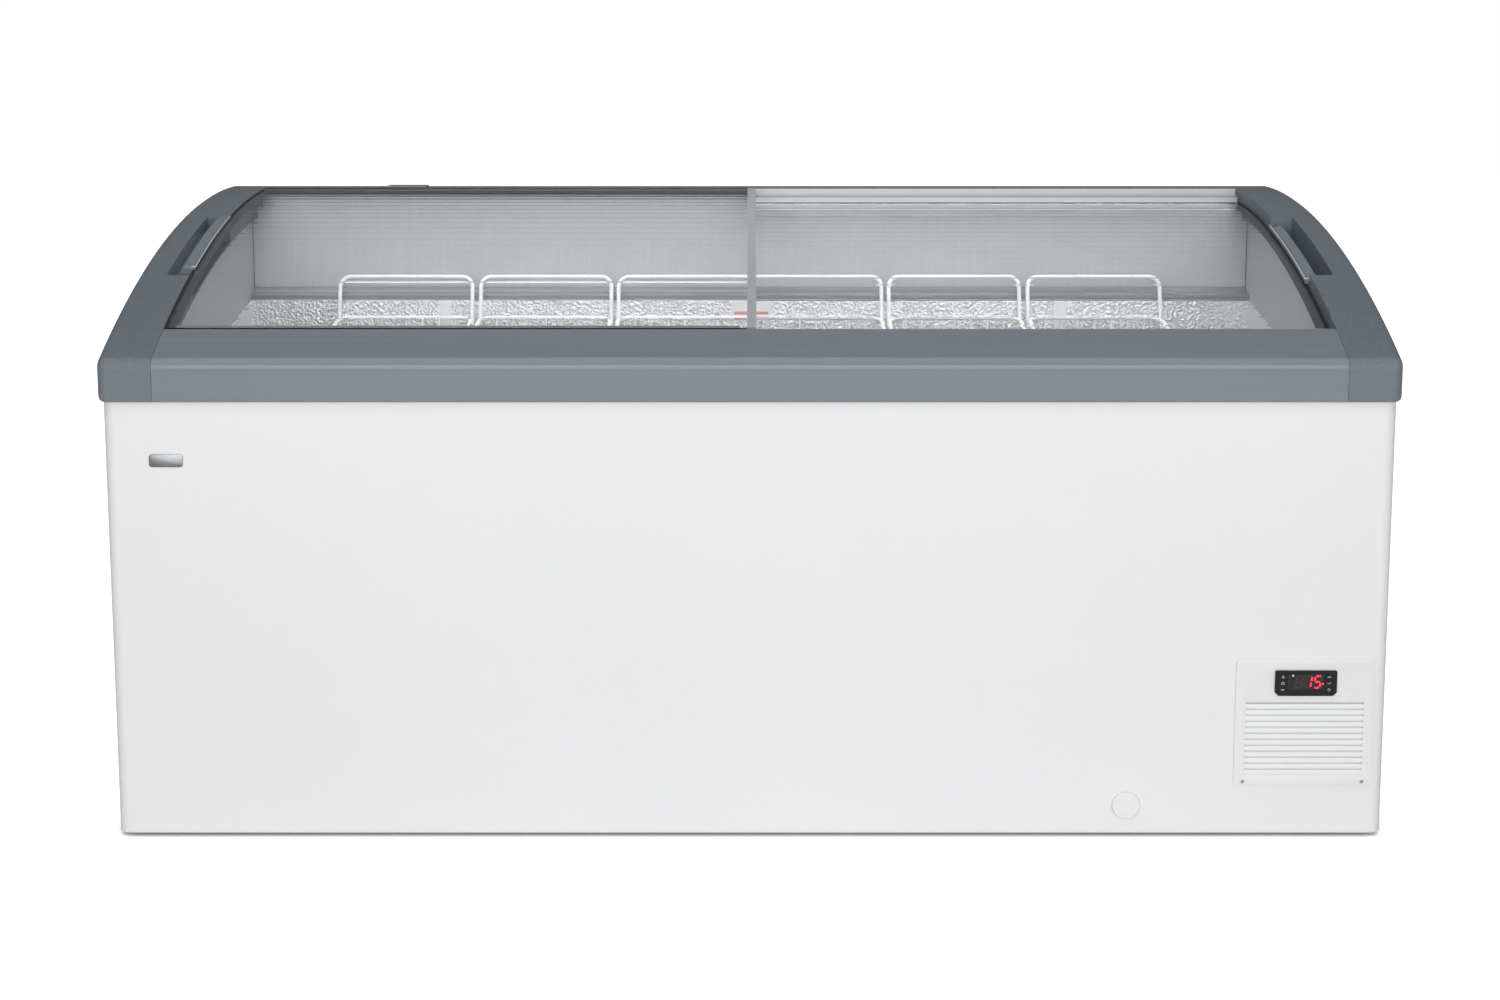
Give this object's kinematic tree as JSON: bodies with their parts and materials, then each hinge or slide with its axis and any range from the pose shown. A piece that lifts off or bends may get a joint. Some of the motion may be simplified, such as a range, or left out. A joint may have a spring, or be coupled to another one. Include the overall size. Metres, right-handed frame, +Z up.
{
  "type": "chest freezer",
  "caption": "Wide shop chest freezer with a white steel cabinet, a grey top frame, curved sliding glass lids, wire baskets and a front control panel.",
  "frame": {"origin": "on the floor under the middle of the cabinet", "axes": "+X to the right seen from the front, +Y from the front to the back, +Z up"},
  "size_m": [1.8, 0.7, 0.878],
  "materials": {
    "white_steel": "smooth satin white coating",
    "galvanised": "dull zinc",
    "foam": "rigid foam, hidden",
    "liner": "stucco embossed",
    "copper": "drawn copper tube",
    "frame_grey": "satin extruded plastic",
    "cap_grey": "fine grained moulded plastic",
    "profile": "satin anodised",
    "panel_grey": "smooth pale grey plastic",
    "white_plastic": "satin moulded plastic",
    "black_plastic": "satin moulded plastic",
    "display": "tinted window",
    "black_paint": "semi-gloss black paint",
    "rubber": "matt",
    "wire": "plastic coated wire",
    "glass": "clear tempered glass"
  },
  "bodies": {
    "cabinet": {"outer_shell": "white_steel", "rear_panel": "galvanised", "base_plate": "galvanised", "insulation_foam": "foam", "inner_liner": "liner", "evaporator_coil": "copper", "front_rail": "frame_grey", "rear_rail": "frame_grey", "left_end_cap": "cap_grey", "right_end_cap": "cap_grey", "front_track": "profile", "rear_track": "panel_grey", "back_inner_panel": "panel_grey", "left_side_panel": "panel_grey", "right_side_panel": "panel_grey", "rear_basket_ledge": "panel_grey", "front_basket_ledge": "white_plastic", "left_wall_strip": "white_plastic", "right_wall_strip": "white_plastic", "lid_catch": "cap_grey", "grille_panel": "white_plastic", "grille_screw_left": "galvanised", "grille_screw_right": "galvanised", "controller_housing": "black_plastic", "display_window": "display", "drain_tube": "white_plastic", "compressor_tray": "galvanised", "compressor": "black_paint", "filter_drier": "copper", "condenser": "galvanised", "fan_shroud": "black_paint", "fan_motor": "galvanised", "cord_gland": "rubber", "foot_front_left": "rubber", "foot_front_right": "rubber", "foot_rear_left": "rubber", "foot_rear_right": "rubber"},
    "left_lid": {"left_lid_glass": "glass", "left_lid_front_shoe": "frame_grey", "left_lid_end_seal": "rubber", "left_lid_edge_trim": "profile", "left_lid_handle": "frame_grey", "left_lid_rear_profile": "black_plastic"},
    "right_lid": {"right_lid_glass": "glass", "right_lid_front_shoe": "frame_grey", "right_lid_end_seal": "rubber", "right_lid_edge_trim": "profile", "right_lid_handle": "frame_grey", "right_lid_rear_profile": "profile"},
    "basket_1_body": {"basket_1": "wire"},
    "basket_2_body": {"basket_2": "wire"},
    "basket_3_body": {"basket_3": "wire"},
    "basket_4_body": {"basket_4": "wire"},
    "basket_5_body": {"basket_5": "wire"},
    "key_up_body": {"key_up": "black_plastic"},
    "key_down_body": {"key_down": "black_plastic"},
    "key_set_body": {"key_set": "black_plastic"},
    "drain_cap_body": {"drain_cap": "white_plastic"},
    "fan": {"fan_blades": "black_plastic"}
  },
  "joints": [
    {"name": "left_lid_slide", "type": "slide", "parent": "cabinet", "child": "left_lid", "axis": [1, 0, 0], "range_m": [0, 0.74]},
    {"name": "right_lid_slide", "type": "slide", "parent": "cabinet", "child": "right_lid", "axis": [1, 0, 0], "range_m": [-0.74, 0]},
    {"name": "basket_1_lift", "type": "slide", "parent": "cabinet", "child": "basket_1_body", "axis": [0, 0, 1], "range_m": [0, 0.04]},
    {"name": "basket_2_lift", "type": "slide", "parent": "cabinet", "child": "basket_2_body", "axis": [0, 0, 1], "range_m": [0, 0.04]},
    {"name": "basket_3_lift", "type": "slide", "parent": "cabinet", "child": "basket_3_body", "axis": [0, 0, 1], "range_m": [0, 0.04]},
    {"name": "basket_4_lift", "type": "slide", "parent": "cabinet", "child": "basket_4_body", "axis": [0, 0, 1], "range_m": [0, 0.04]},
    {"name": "basket_5_lift", "type": "slide", "parent": "cabinet", "child": "basket_5_body", "axis": [0, 0, 1], "range_m": [0, 0.04]},
    {"name": "key_up_press", "type": "slide", "parent": "cabinet", "child": "key_up_body", "axis": [0, 1, 0], "range_m": [0, 0.0008], "stiffness_N_per_m": 400},
    {"name": "key_down_press", "type": "slide", "parent": "cabinet", "child": "key_down_body", "axis": [0, 1, 0], "range_m": [0, 0.0008], "stiffness_N_per_m": 400},
    {"name": "key_set_press", "type": "slide", "parent": "cabinet", "child": "key_set_body", "axis": [0, 1, 0], "range_m": [0, 0.0008], "stiffness_N_per_m": 400},
    {"name": "drain_cap_pull", "type": "slide", "parent": "cabinet", "child": "drain_cap_body", "axis": [0, -1, 0], "range_m": [0, 0.03]},
    {"name": "fan_spin", "type": "hinge", "parent": "cabinet", "child": "fan", "pos_m": [0.75, -0.232, 0.115], "axis": [0, 1, 0], "continuous": true}
  ]
}
